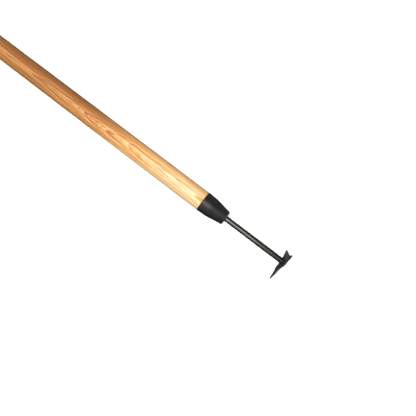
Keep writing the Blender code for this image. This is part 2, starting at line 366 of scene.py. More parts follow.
def show(tree, values, relief=None, strength=0.0, depth=0.0):
    """Sets what a finish shows on the surface, and a relief that is so deep in metres."""
    if relief is not None:
        bump = add_node(tree, "Bump", {"Height": relief, "Strength": strength, "Distance": depth})
        values["Normal"] = bump.outputs[0]
    set_inputs(tree, tree.nodes["Principled BSDF"], values)


# Along the handle, as shares of its length with the collar, each kind of wood goes through these colours.
# Beside the wood's own tone they hold painted light: painted shade mid-handle, painted brightness at the
# collar.
PLAIN_WOOD = (
    (0.0, colour(0.62, 0.335, 0.10)),
    (0.6, colour(0.52, 0.255, 0.078)),
    (0.735, colour(0.36, 0.152, 0.040)),
    (0.80, colour(0.56, 0.262, 0.077)),
    (0.88, colour(0.83, 0.53, 0.225)),
    (0.94, colour(0.85, 0.62, 0.34)),
)
EARLY_WOOD = (
    (0.0, colour(0.36, 0.15, 0.035)),
    (0.6, colour(0.34, 0.13, 0.03)),
    (0.735, colour(0.25, 0.085, 0.022)),
    (0.80, colour(0.29, 0.08, 0.015)),
    (0.88, colour(0.54, 0.18, 0.033)),
    (0.94, colour(0.63, 0.26, 0.055)),
)
LATE_WOOD = (
    (0.0, colour(0.74, 0.44, 0.155)),
    (0.6, colour(0.62, 0.33, 0.11)),
    (0.735, colour(0.48, 0.225, 0.075)),
    (0.80, colour(0.66, 0.335, 0.12)),
    (0.88, colour(0.88, 0.62, 0.30)),
    (0.94, colour(0.87, 0.72, 0.43)),
)
FIBRE_BROWN = colour(0.36, 0.17, 0.06)
PORE_BROWN = colour(0.17, 0.075, 0.03)
FLANK_BROWN_AND_SHADE = colour(0.27, 0.10, 0.032)
FLANK_AMBER = colour(0.72, 0.26, 0.05)
HANDLED_BROWN = colour(0.25, 0.115, 0.035)
TONE_WANDER = 0.16
TONE_START = 0.08

GRAIN_FACE_TURN = math.radians(31)
PITH_DEPTH = 0.085
RING_WIDTH = 0.0024
FINE_LINES_IN_RING = 4.0
RING_WANDER = 0.0014
RING_WANDER_OFFSET = -0.00142
RING_RAGGEDNESS = 0.0006
RING_TWIST = 0.9
RING_SWAY = 0.008
FIRST_ARCH = 1.1345
GRAIN_LEAN = 0.012
# The grain also leans out in steps, each from one station to another by so many metres.
GRAIN_RISES = (
    (0.30, 0.62, 0.0032),
    (0.80, 0.90, 0.0012),
    (1.105, 1.225, 0.00304),
    (1.2025, 1.2375, 0.00189),
    (1.315, 1.40, 0.00125),
)
# On each side of a line, where it starts to show and shows in full, as shares of a yearly or a fine ring.
DARK_LINE = ((0.0, 0.03), (0.28, 0.1))
SECOND_DARK_LINE = ((0.38, 0.42), (0.6, 0.46))
SECOND_LINE_STRENGTH = 0.4
LIGHT_LINE = ((0.45, 0.85), (1.0, 0.985))
FINE_DARK_LINE = ((0.0, 0.12), (0.5, 0.2))
FINE_LIGHT_LINE = ((0.5, 0.8), (1.0, 0.95))


def grain_rise(station):
    """How far the grain has leaned out of the handle, from the knob to a station."""
    steps = [rise * smoothstep((station - start) / (end - start)) for start, end, rise in GRAIN_RISES]
    return GRAIN_LEAN * station + sum(steps)


def ring_number(tree, in_log, along, across, outward):
    """Which yearly ring a point of the wood lies in, counted from the one at the tip of the first arch."""
    # The rings lean out towards the collar, so they break the surface in long arches that point to the knob.
    lean = times(tree, along, GRAIN_LEAN)
    for start, end, rise in GRAIN_RISES:
        lean = calc(tree, "ADD", lean, fade(tree, along, start, end, 0.0, rise))
    wander = plus(tree, RING_WANDER_OFFSET, noise(tree, in_log, (7, 40, 40), 3.0, 0.55), RING_WANDER)
    wander = plus(tree, wander, noise(tree, in_log, (11, 520, 520), 2.0, 0.6), RING_RAGGEDNESS)
    depth = calc(tree, "ADD", calc(tree, "ADD", outward, lean), wander)
    twist = plus(tree, -RING_TWIST / 2, noise(tree, in_log, (14, 6, 6), 1.0), RING_TWIST)
    twist = times(tree, twist, fade(tree, along, 0.55, 1.05, 0.2, 1.0))
    depth = plus(tree, depth, across, twist)
    sway = plus(tree, -RING_SWAY / 2, noise(tree, in_log, (5, 12, 12), 1.0), RING_SWAY)
    sideways = calc(tree, "ADD", across, sway)
    from_pith = distance(tree, calc(tree, "ADD", depth, PITH_DEPTH), sideways)
    depth = calc(tree, "SUBTRACT", from_pith, PITH_DEPTH)
    first_arch_depth = grip_radius(FIRST_ARCH) + grain_rise(FIRST_ARCH)
    return calc(tree, "DIVIDE", calc(tree, "SUBTRACT", depth, first_arch_depth), RING_WIDTH)


def varnished_ash():
    finish, tree, where = start_finish("varnished_ash")
    in_log = measured_from(tree, where, (KNOB_TIP_X, AXIS_Y, AXIS_Z), GRAIN_FACE_TURN)
    along, across, outward = parts_of(tree, in_log)
    from_knob = fade(tree, along, 0.25, 0.8)
    # The wood is honey brown at the knob. Along the handle it also carries a painted falloff of light:
    # painted shade in the middle and a straw pale painted brightness at the collar.
    tone_with_painted_falloff = plus(tree, along, noise(tree, in_log, (2.2, 16, 16), 2.0), TONE_WANDER)
    tone_with_painted_falloff = calc(tree, "DIVIDE", calc(tree, "SUBTRACT", tone_with_painted_falloff, TONE_START), COLLAR_END)
    plain_wood = ramp(tree, tone_with_painted_falloff, PLAIN_WOOD)
    dark_wood = ramp(tree, tone_with_painted_falloff, EARLY_WOOD)
    light_wood = ramp(tree, tone_with_painted_falloff, LATE_WOOD)

    # A ring starts with a dark line and a weaker second one, turns light, and has fine lines all through it.
    ring = ring_number(tree, in_log, along, across, outward)
    in_ring = calc(tree, "FRACT", ring)
    early = band(tree, in_ring, *DARK_LINE)
    early = plus(tree, early, band(tree, in_ring, *SECOND_DARK_LINE), SECOND_LINE_STRENGTH)
    year = noise(tree, in_log, (0.5, 260, 260), 1.0)
    early = times(tree, early, fade(tree, year, 0.3, 0.66, 0.85, 1.0), fade(tree, along, 0.1, 0.5, 0.6, 1.0))
    late = band(tree, in_ring, *LIGHT_LINE)
    in_fine = calc(tree, "FRACT", times(tree, ring, FINE_LINES_IN_RING))
    fine_dark = band(tree, in_fine, *FINE_DARK_LINE)
    fine_light = band(tree, in_fine, *FINE_LIGHT_LINE)
    fine_share = fade(tree, noise(tree, in_log, (4.0, 90, 90), 2.0), 0.35, 0.65, 0.15, 0.75)
    fine_share = times(tree, fine_share, fade(tree, from_knob, 0.0, 1.0, 0.4, 1.0))
    fine_share = calc(tree, "MAXIMUM", fine_share, fade(tree, tone_with_painted_falloff, 0.82, 0.9, 0.0, 0.75))
    # Near the collar the outer rings are paler: partly sapwood, partly a painted highlight.
    sapwood_and_highlight = times(tree, fade(tree, ring, 1.9, 2.3), fade(tree, tone_with_painted_falloff, 0.86, 0.92), 0.75)

    fibre = noise(tree, in_log, (26, 1400, 1400), 3.0, 0.6)
    streak = noise(tree, in_log, (3.2, 190, 190), 2.0, 0.55)
    thread = noise(tree, in_log, (7, 330, 330), 3.0, 0.65)
    pore = fade(tree, noise(tree, in_log, (150, 3300, 3300), 1.0), 0.56, 0.68)
    pore = times(tree, pore, fade(tree, early, 0.15, 0.75))
    dark_thread = times(tree, fade(tree, thread, 0.5, 0.62), fade(tree, from_knob, 0.0, 1.0, 0.12, 0.46))
    light_thread = times(tree, fade(tree, thread, 0.5, 0.38), fade(tree, from_knob, 0.0, 1.0, 0.4, 0.56))

    # The flank that faces the heart of the tree is a redder brown, most of all in the middle of the handle,
    # and that side of the handle is also painted darker as shade.
    flank_wood_and_shade = tint(tree, fade(tree, tone_with_painted_falloff, 0.8, 0.93), FLANK_BROWN_AND_SHADE, FLANK_AMBER)
    flank_and_shade = times(
        tree,
        fade(tree, across, 0.0005, 0.0085),
        fade(tree, tone_with_painted_falloff, 0.95, 0.78, 0.45, 1.0),
        fade(tree, streak, 0.3, 0.65, 0.45, 0.85),
        fade(tree, along, 0.3, 0.95, 0.2, 1.0),
    )
    flank_thread = times(tree, flank_and_shade, from_knob)

    # End grain drinks more varnish, and hands have darkened the knob and the rim of its hole.
    smudge = noise(tree, in_log, (60, 90, 90), 4.0, 0.6)
    end_grain = fade(tree, calc(tree, "ABSOLUTE", facing_along(tree)), 0.35, 0.95)
    handled = times(tree, fade(tree, along, 0.09, 0.0), fade(tree, smudge, 0.35, 0.7))
    wood = layered(tree, plain_wood, (
        (sapwood_and_highlight, light_wood),
        (late, light_wood),
        (times(tree, fine_light, fine_share), light_wood),
        (early, dark_wood),
        (times(tree, fine_dark, fine_share), dark_wood),
        (fade(tree, streak, 0.48, 0.74, 0.0, 0.4), dark_wood),
        (fade(tree, streak, 0.46, 0.26, 0.0, 0.35), light_wood),
        (dark_thread, dark_wood),
        (light_thread, light_wood),
        (fade(tree, fibre, 0.35, 0.7, 0.0, 0.27), FIBRE_BROWN),
        (times(tree, pore, 0.55), PORE_BROWN),
        (flank_and_shade, flank_wood_and_shade),
        (times(tree, fade(tree, thread, 0.48, 0.6, 0.0, 0.6), flank_thread), dark_wood),
        (times(tree, fade(tree, thread, 0.48, 0.38, 0.0, 0.22), flank_thread), light_wood),
        (calc(tree, "MAXIMUM", times(tree, end_grain, 0.5), times(tree, handled, 0.3)), HANDLED_BROWN),
    ))
    rough = plus(tree, plus(tree, 0.36, fibre, 0.16), smudge, 0.12)
    relief = plus(tree, plus(tree, times(tree, fibre, 0.5), early, -0.45), pore, -0.6)
    varnish = {"Specular IOR Level": 0.13, "Coat Weight": 0.07, "Coat Roughness": 0.26}
    show(tree, {"Base Color": wood, "Roughness": rough, **varnish}, relief, strength=0.35, depth=0.00012)
    return finish


drill = hanging_hole_drill()
handle = finished_piece(
    "ash_handle", turn_round_axis(handle_profile(), HANDLE_SIDES), varnished_ash(), HANDLE_CREASE_ANGLE
)
bored = handle.modifiers.new("hanging_hole", "BOOLEAN")
bored.operation = "DIFFERENCE"
bored.object = drill
bpy.context.view_layer.update()
bored_mesh = bpy.data.meshes.new_from_object(handle.evaluated_get(bpy.context.evaluated_depsgraph_get()))
handle.modifiers.clear()
handle.data = bored_mesh
smooth_between_creases(handle.data, HANDLE_CREASE_ANGLE)
bpy.data.objects.remove(drill)
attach(handle, "root")
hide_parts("handle")

# Collar
# A black plastic cone, moulded in one piece with a fine matt texture. Its small end is closed but for the
# rod's hole. It is pushed over the tenon until its rim meets the handle's shoulder.
COLLAR_SIDES = 128
COLLAR_EASING_STEPS = 10
COLLAR_CREASE_ANGLE = 32
PLASTIC_BLACK = colour(0.0052, 0.0059, 0.0057)
FADED_PLASTIC = colour(0.0088, 0.0096, 0.0093)
SCUFFED_PLASTIC = colour(0.035, 0.036, 0.036)
WORN_PLASTIC = colour(0.045, 0.045, 0.044)
# How far from the rim the wear of each edge starts to show and shows in full, in metres.
RIM_WEAR = (0.0012, 0.0002)
END_WEAR = ((0.0385, 0.0408), (0.0421, 0.0414))


def moulded_black_plastic():
    finish, tree, where = start_finish("moulded_black_plastic")
    grain = noise(tree, where, (2600, 2600, 2600), 2.0)
    patch = noise(tree, where, (70, 70, 70), 3.0, 0.6)
    scuff = fade(tree, noise(tree, where, (110, 1500, 1500), 3.0, 0.65), 0.62, 0.78)

    # The rim and the edge of the small end are worn in places.
    from_rim = calc(tree, "SUBTRACT", parts_of(tree, where)[0], KNOB_TIP_X + GRIP_LENGTH)
    wear = calc(tree, "MAXIMUM", fade(tree, from_rim, *RIM_WEAR), band(tree, from_rim, *END_WEAR))
    wear = times(tree, wear, fade(tree, patch, 0.38, 0.66))
    plastic = layered(tree, PLASTIC_BLACK, (
        (fade(tree, patch, 0.3, 0.7), FADED_PLASTIC),
        (times(tree, scuff, 0.35), SCUFFED_PLASTIC),
        (times(tree, wear, 0.5), WORN_PLASTIC),
    ))
    rough = plus(tree, plus(tree, 0.37, patch, 0.12), grain, 0.08)
    relief = plus(tree, grain, scuff, -0.3)
    surface = {"Base Color": plastic, "Roughness": rough, "Specular IOR Level": 0.31}
    show(tree, surface, relief, strength=0.3, depth=0.00005)
    return finish


rod_hole = ROD_DIAMETER / 2 + PIECE_GAP
socket_end = COLLAR_END - COLLAR_WALL
collar_corners = [(rod_hole, COLLAR_END, 0)] + collar_side(0, COLLAR_END)
collar_corners += list(reversed(collar_side(COLLAR_WALL, socket_end))) + [(rod_hole, socket_end, 0)]
collar_profile = eased_profile(collar_corners, COLLAR_EASING_STEPS, closed=True)
collar = finished_piece(
    "moulded_collar",
    turn_round_axis(collar_profile, COLLAR_SIDES, closed=True),
    moulded_black_plastic(),
    COLLAR_CREASE_ANGLE,
)
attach(collar, "root")
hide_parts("collar")

# Shank
# One length of drawn steel rod with a dark, lightly oiled skin. Its tapered tang is driven into the handle.
# At the other end it steps down to a spigot, whose hollow end is peened out over the washer.
ROD_REACH = 0.1064
SPIGOT_DIAMETER = 0.0064
PEEN_DIAMETER = 0.0077
PEEN_HEIGHT = 0.0009
CENTRE_HOLE_DIAMETER = 0.0042
CENTRE_HOLE_DEPTH = 0.0035
CENTRE_HOLE_CHAMFER = 0.0004
CHAMFER_FOOT_RADIUS = 0.0003
CHAMFER_TOP_RADIUS = 0.0002
PLATE_THICKNESS = 0.0017
WASHER_CROWN_HEIGHT = 0.0013
SHANK_SIDES = 96
SHANK_EASING_STEPS = 6
SHANK_CREASE_ANGLE = 30

ROD_SHOULDER = COLLAR_END + ROD_REACH - PIECE_GAP
PLATE_BACK = ROD_SHOULDER + PIECE_GAP
PLATE_FRONT = PLATE_BACK + PLATE_THICKNESS
WASHER_BACK = PLATE_FRONT + PIECE_GAP
WASHER_FRONT = WASHER_BACK + WASHER_CROWN_HEIGHT
PEEN_FRONT = WASHER_FRONT + PIECE_GAP

PAINTED_SHADE_TURN = math.radians(27)
ROD_SHADE_START = COLLAR_END + ROD_REACH * 0.45
HAMMERED_LENGTH = 0.0008
HOLE_SHADE_EDGE = 0.00015
ROD_SKIN = colour(0.072, 0.067, 0.060)
STAINED_ROD_SKIN = colour(0.142, 0.133, 0.120)
DRAWN_LINE_GREY = colour(0.16, 0.153, 0.14)
ROD_SPECK = colour(0.035, 0.028, 0.024)
UPPER_PAINTED_SHADE = colour(0.012, 0.0115, 0.0105)
LOWER_PAINTED_SHADE = colour(0.012, 0.0125, 0.0105)
ROD_END_SHADE = colour(0.03, 0.029, 0.027)
HAMMERED_STEEL = colour(0.56, 0.555, 0.54)
HOLE_SHADE = colour(0.005, 0.005, 0.005)
GLANCING_GREY = colour(0.3, 0.3, 0.3)


def shank_profile():
    """From the bottom of the centre hole, over the peened end, the spigot and the rod, to the tang's tip."""
    rod = ROD_DIAMETER / 2
    spigot = SPIGOT_DIAMETER / 2
    peen = PEEN_DIAMETER / 2
    hole = CENTRE_HOLE_DIAMETER / 2
    corners = [
        (0, PEEN_FRONT - CENTRE_HOLE_DEPTH - hole / 2, 0),
        (hole, PEEN_FRONT - CENTRE_HOLE_DEPTH, 0),
        (hole, PEEN_FRONT - CENTRE_HOLE_CHAMFER, CHAMFER_FOOT_RADIUS),
        (hole + CENTRE_HOLE_CHAMFER, PEEN_FRONT, CHAMFER_TOP_RADIUS),
        (peen, PEEN_FRONT, PEEN_HEIGHT / 2),
        (peen, PEEN_FRONT - PEEN_HEIGHT / 2, 0),
        (spigot, PEEN_FRONT - PEEN_HEIGHT, 0),
        (spigot, ROD_SHOULDER, 0),
        (rod, ROD_SHOULDER, PIECE_GAP),
        (rod, TANG_TIP + TANG_TAPER_LENGTH, 0),
        (TANG_TIP_DIAMETER / 2, TANG_TIP, 0),
        (0, TANG_TIP, 0),
    ]
    return eased_profile(corners, SHANK_EASING_STEPS)


def distance_from_axis(tree, where):
    _, side, up = parts_of(tree, where)
    return distance(tree, calc(tree, "SUBTRACT", up, AXIS_Z), calc(tree, "SUBTRACT", side, AXIS_Y))


def dark_drawn_steel():
    finish, tree, where = start_finish("dark_drawn_steel")
    drawn_line = noise(tree, where, (22, 2400, 2400), 3.0, 0.6)
    stain = noise(tree, where, (90, 210, 210), 4.0, 0.62)
    speck = noise(tree, where, (1500, 1500, 1500), 2.0)

    # Two stripes of painted shade run along the rod's top, and painted shade darkens it towards its blade
    # end.
    radius = ROD_DIAMETER / 2
    on_rod = measured_from(tree, where, (0, AXIS_Y, AXIS_Z), PAINTED_SHADE_TURN, (1, radius, radius))
    _, across, over = parts_of(tree, on_rod)
    on_top = fade(tree, over, -0.3, 0.3)
    upper_painted_shade = times(tree, fade(tree, across, 0.26, 0.7, 0.0, 0.9), on_top)
    lower_painted_shade = times(tree, fade(tree, across, -0.04, -0.6, 0.0, 0.72), on_top)
    along = calc(tree, "SUBTRACT", parts_of(tree, where)[0], KNOB_TIP_X)
    darkened_end = fade(tree, along, ROD_SHADE_START, PLATE_BACK, 0.0, 0.75)

    # Hammering has brightened the peened end, and the inside of its hole is painted black as shade.
    hammered = fade(tree, along, WASHER_BACK, WASHER_BACK + HAMMERED_LENGTH)
    hole_edge = CENTRE_HOLE_DIAMETER / 2
    from_axis = distance_from_axis(tree, where)
    in_hole = fade(tree, from_axis, hole_edge + HOLE_SHADE_EDGE, hole_edge - HOLE_SHADE_EDGE)
    skin = layered(tree, ROD_SKIN, (
        (fade(tree, stain, 0.32, 0.7), STAINED_ROD_SKIN),
        (fade(tree, drawn_line, 0.45, 0.75, 0.0, 0.5), DRAWN_LINE_GREY),
        (fade(tree, speck, 0.64, 0.72, 0.0, 0.6), ROD_SPECK),
        (upper_painted_shade, UPPER_PAINTED_SHADE),
        (lower_painted_shade, LOWER_PAINTED_SHADE),
        (darkened_end, ROD_END_SHADE),
        (hammered, HAMMERED_STEEL),
        (times(tree, hammered, in_hole), HOLE_SHADE),
    ))
    rough = plus(tree, plus(tree, 0.30, stain, 0.14), drawn_line, 0.08)
    surface = {"Base Color": skin, "Roughness": rough, "Metallic": 0.85, "Specular Tint": GLANCING_GREY}
    show(tree, surface, relief=plus(tree, drawn_line, speck, 0.35), strength=0.35, depth=0.00004)
    return finish


shank = finished_piece(
    "steel_shank", turn_round_axis(shank_profile(), SHANK_SIDES), dark_drawn_steel(), SHANK_CREASE_ANGLE
)
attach(shank, "root")
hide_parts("shank")

# Blade
# A three-pointed star cut from steel plate and pressed hot. Its beak is creased along a ridge, its wings
# sweep back a little and its long sides are ground. It is left mottled, with a ridge polished by work and a
# painted highlight along it, and painted shade on its upright half, its beak's far flank and its sheared
# sides.
BEAK_REACH = 0.0312
BEAK_TIP_WIDTH = 0.00218
BEAK_SHOULDER_REACH = 0.018
BEAK_SHOULDER_WIDTH = 0.0098
BEAK_HOLLOWNESS = 1.2
WING_REACH = 0.0335
WING_ANGLE = math.radians(121)
WING_TIP_RADIUS = 0.0012
NOTCH_REACH = 0.013
BLADE_EDGE_BEVEL = 0.0004
BLADE_BEVEL_FROM_ANGLE = math.radians(50)
BLADE_CREASE_ANGLE = 60
BEAK_FALL = 0.0022
BEAK_FALL_GROWTH = 1.5
WING_SWEEP_ANGLE = math.radians(6.5)
BEAK_CREASE_ANGLE = math.radians(60)
CREASE_GROWTH = 1.25
CREASE_RADIUS = 0.0012
SEAT_BLEND_LENGTH = 0.005
SEAT_MARGIN = 0.0003
WASHER_DIAMETER = 0.0138
GRIND_WIDTH = 0.0012
GRIND_DEPTH = 0.00028
GRIND_RUN_OUT = 0.004
BLADE_ROLL = -math.atan2(BEAK_REACH - WING_REACH * math.cos(WING_ANGLE), WING_REACH * math.sin(WING_ANGLE))
SEAT_RADIUS = WASHER_DIAMETER / 2 + SEAT_MARGIN
WING_EDGE_STEPS = 30
BEAK_EDGE_STEPS = 16
NOTCH_EDGE_STEPS = 22
TIP_STEPS = 6
BLADE_RINGS = 26

FLAKES_A_METRE = 165.0
FLAKE_WOBBLES_A_METRE = 420.0
FLAKE_WOBBLE = 0.0034
RIDGE_SIDE = 0.0004
RIDGE_HALF_WIDTH = 0.0014
RIDGE_HALF_WIDTH_AT_SEAT = 0.0034
RIDGE_NARROWING_LENGTH = 0.0038
# How far in from the upright wing's long side each mark starts to show and shows in full, in metres.
SOOT_STREAK = ((0.0018, 0.003), (0.0078, 0.0042))
SHADED_STRIP = (0.0009, 0.0006)
LIP_HIGHLIGHT_BAND = ((0.0009, 0.0011), (0.0015, 0.0012))

HOT_SKIN = colour(0.36, 0.335, 0.325)
BARE_STEEL = colour(0.90, 0.87, 0.85)
SHADED_HALF_SKIN = colour(0.075, 0.072, 0.064)
SHADED_HALF_STEEL = colour(0.33, 0.325, 0.305)
BEAK_SIDE_PAINTED_SHADE = colour(0.042, 0.042, 0.034)
BLUSH = colour(0.31, 0.245, 0.24)
SOOT = colour(0.068, 0.064, 0.056)
GROUND_STRIP_SHADE = colour(0.085, 0.08, 0.072)
GROUND_LIP_HIGHLIGHT = colour(0.52, 0.50, 0.47)
BACK_SCALE = colour(0.075, 0.074, 0.07)
BACK_STEEL = colour(0.27, 0.268, 0.255)
BACK_OF_BEAK_SHADE = colour(0.05, 0.05, 0.048)
SHEARED_SIDE_SHADE = colour(0.015, 0.015, 0.0125)
POLISHED_RIDGE_AND_HIGHLIGHT = colour(0.92, 0.915, 0.89)
SEAT_DIRT_AND_SHADE = colour(0.03, 0.027, 0.025)
BURNT_TIP = colour(0.012, 0.011, 0.011)


def blade_half_edge():
    """Half of the blade's outline, as (along the beak, to the side), from the notch to the beak's tip."""
    wing = Vector((math.cos(WING_ANGLE), math.sin(WING_ANGLE))) * WING_REACH
    notch = Vector((-NOTCH_REACH, 0.0))
    shoulder = Vector((BEAK_SHOULDER_REACH, BEAK_SHOULDER_WIDTH / 2))
    into = (notch - wing).normalized()
    out = (shoulder - wing).normalized()
    half_angle = into.angle(out) / 2
    reach = WING_TIP_RADIUS / math.tan(half_angle)
    centre = wing + (into + out).normalized() * (WING_TIP_RADIUS / math.sin(half_angle))
    arc_start = wing + into * reach
    arc_end = wing + out * reach
    points = [notch.lerp(arc_start, step / NOTCH_EDGE_STEPS) for step in range(NOTCH_EDGE_STEPS)]
    for step in range(TIP_STEPS + 1):
        spoke = (arc_start - centre).lerp(arc_end - centre, step / TIP_STEPS)
        points.append(centre + spoke.normalized() * WING_TIP_RADIUS)
    points += [arc_end.lerp(shoulder, step / WING_EDGE_STEPS) for step in range(1, WING_EDGE_STEPS)]
    tip_half = BEAK_TIP_WIDTH / 2
    straight_end = BEAK_REACH - tip_half / 2
    for step in range(BEAK_EDGE_STEPS + 1):
        share = step / BEAK_EDGE_STEPS
        along = BEAK_SHOULDER_REACH + (straight_end - BEAK_SHOULDER_REACH) * share
        narrowing = (1 - share) ** BEAK_HOLLOWNESS
        points.append(Vector((along, tip_half + (BEAK_SHOULDER_WIDTH / 2 - tip_half) * narrowing)))
    points += [Vector((BEAK_REACH, tip_half / 2)), Vector((BEAK_REACH, 0.0))]
    return points, wing, shoulder


def press_depth(along, side):
    """How far the pressing moves the plate forward of its flat seat, at a point of its outline plane."""
    free = smoothstep((math.hypot(along, side) - SEAT_RADIUS) / SEAT_BLEND_LENGTH)
    fall = BEAK_FALL * (max(along - SEAT_RADIUS, 0.0) / (BEAK_REACH - SEAT_RADIUS)) ** BEAK_FALL_GROWTH
    towards_tip = min(max(along / BEAK_REACH, 0.0), 1.0) ** CREASE_GROWTH
    crease = WING_SWEEP_ANGLE + (BEAK_CREASE_ANGLE - WING_SWEEP_ANGLE) * towards_tip
    across = math.hypot(side, CREASE_RADIUS) - CREASE_RADIUS
    return -fall - free * math.tan(crease) * across


def flat_star(outline, hole):
    """A flat sheet between the blade's outline and the spigot's hole, in rings of faces."""
    plate = bmesh.new()
    rim = [plate.verts.new((point.x, point.y, 0)) for point in outline]
    rim_edges = [plate.edges.new((rim[index - 1], rim[index])) for index in range(len(rim))]
    drawn = bmesh.ops.extrude_edge_only(plate, edges=rim_edges)["geom"]
    inner = [part for part in drawn if isinstance(part, bmesh.types.BMVert)]
    for corner in inner:
        corner.co = corner.co.normalized() * hole
    spokes = [edge for edge in plate.edges if (edge.verts[0] in inner) != (edge.verts[1] in inner)]
    bmesh.ops.subdivide_edges(plate, edges=spokes, cuts=BLADE_RINGS, use_grid_fill=True)
    return plate


def pressed_plate():
    """The blade as a plate of one thickness along the tool, with its ground strips and its crease."""
    half, wing, shoulder = blade_half_edge()
    outline = half + [Vector((point.x, -point.y)) for point in reversed(half[1:-1])]
    plate = flat_star(outline, hole=SPIGOT_DIAMETER / 2 + PIECE_GAP)

    side_line = (shoulder - wing).normalized()
    for mirror in (1, -1):
        tip = Vector((wing.x, wing.y * mirror, 0))
        inward = Vector((side_line.y, -side_line.x * mirror, 0))
        if inward.dot(tip) > 0:
            inward.negate()
        whole = plate.verts[:] + plate.edges[:] + plate.faces[:]
        bmesh.ops.bisect_plane(plate, geom=whole, plane_co=tip + inward * GRIND_WIDTH, plane_no=inward)
    for corner in plate.verts:
        along, side = corner.co.x, abs(corner.co.y)
        from_side = abs((Vector((along, side)) - wing).cross(side_line))
        ground = GRIND_DEPTH * min(max(1 - from_side / GRIND_WIDTH, 0.0), 1.0)
        if along > BEAK_SHOULDER_REACH:
            ground *= 1 - smoothstep((along - BEAK_SHOULDER_REACH) / GRIND_RUN_OUT)
        corner.co.z = PLATE_FRONT + press_depth(along, corner.co.y) - ground
    pressed = bmesh.ops.extrude_face_region(plate, geom=plate.faces[:])["geom"]
    back = [part for part in pressed if isinstance(part, bmesh.types.BMVert)]
    bmesh.ops.translate(plate, verts=back, vec=(0, 0, -PLATE_THICKNESS))
    bmesh.ops.recalc_face_normals(plate, faces=plate.faces)
    along_tool = Matrix.Rotation(math.pi / 2, 4, "Y") @ Matrix.Rotation(BLADE_ROLL, 4, "Z")
    to_seat = Matrix.Translation((KNOB_TIP_X, AXIS_Y, AXIS_Z)) @ along_tool
    bmesh.ops.transform(plate, matrix=to_seat, verts=plate.verts)
    return plate


def flaked_scale(tree, on_plate, cloud, fine):
    """How bare the hot skin is, and the pale, dark-rimmed spots where round flakes of scale came off."""
    values = {"Vector": on_plate, "Scale": FLAKE_WOBBLES_A_METRE, "Detail": 2.0}
    wobble = add_node(tree, "TexNoise", values).outputs["Color"]
    values = {0: wobble, 1: (FLAKE_WOBBLE, FLAKE_WOBBLE, FLAKE_WOBBLE), 2: on_plate}
    wobbled = add_node(tree, "VectorMath", values, operation="MULTIPLY_ADD").outputs[0]
    spots = add_node(tree, "TexVoronoi", {"Vector": wobbled, "Scale": FLAKES_A_METRE})
    chosen = fade(tree, parts_of(tree, spots.outputs["Color"])[0], 0.3, 0.5)
    off_spot = spots.outputs["Distance"]
    flake = times(tree, fade(tree, off_spot, 0.42, 0.27), chosen)
    flake_rim = times(tree, band(tree, off_spot, (0.34, 0.42), (0.56, 0.45)), chosen)
    bare = fade(tree, cloud, 0.32, 0.68, 0.08, 0.74)
    bare = plus(tree, bare, flake, 0.34)
    bare = plus(tree, bare, flake_rim, -0.32)
    bare = plus(tree, calc(tree, "SUBTRACT", bare, 0.17), fine, 0.34)
    return bare, flake


def front_skin(tree, bare, cloud, blush, facing, beak, side):
    """The front of the blade. Its upright half is painted darker as shade, and has marks along its wing's
    long side.
    """
    upright = fade(tree, side, 0.0, -0.004)
    pale_half = tint(tree, bare, HOT_SKIN, BARE_STEEL)
    # The upright half is a copy of the skin painted darker as shade.
    painted_shade_half = tint(tree, bare, SHADED_HALF_SKIN, SHADED_HALF_STEEL)
    # The beak's far flank is painted darker as shade.
    beak_side_shade = times(tree, fade(tree, side, -0.0004, -0.0016), fade(tree, facing, 0.93, 0.75))
    beak_side_shade = times(tree, beak_side_shade, fade(tree, beak, 0.009, 0.014), 0.88)

    # Beside the ground strip lies a sooty streak. The strip's lip carries a painted highlight and its side
    # painted shade.
    wing, shoulder = blade_half_edge()[1:]
    side_line = (shoulder - wing).normalized()
    from_side = plus(tree, wing.y * side_line.x - wing.x * side_line.y, beak, side_line.y)
    from_side = plus(tree, from_side, calc(tree, "ABSOLUTE", side), -side_line.x)
    soot = times(tree, band(tree, from_side, *SOOT_STREAK), fade(tree, beak, -0.014, -0.007))
    soot = times(tree, soot, times(tree, upright, fade(tree, cloud, 0.36, 0.62, 0.92, 0.66)))
    long_side = times(tree, fade(tree, beak, 0.0185, 0.0165), fade(tree, upright, 0.0, 1.0, 0.3, 0.9))
    ground_strip_shade = times(tree, fade(tree, from_side, *SHADED_STRIP), long_side)
    lip_highlight = times(tree, band(tree, from_side, *LIP_HIGHLIGHT_BAND), long_side)
    return layered(tree, pale_half, (
        (fade(tree, side, 0.0025, -0.0035), painted_shade_half),
        (beak_side_shade, BEAK_SIDE_PAINTED_SHADE),
        (fade(tree, blush, 0.45, 0.68, 0.0, 0.4), BLUSH),
        (soot, SOOT),
        (ground_strip_shade, GROUND_STRIP_SHADE),
        (lip_highlight, GROUND_LIP_HIGHLIGHT),
    ))


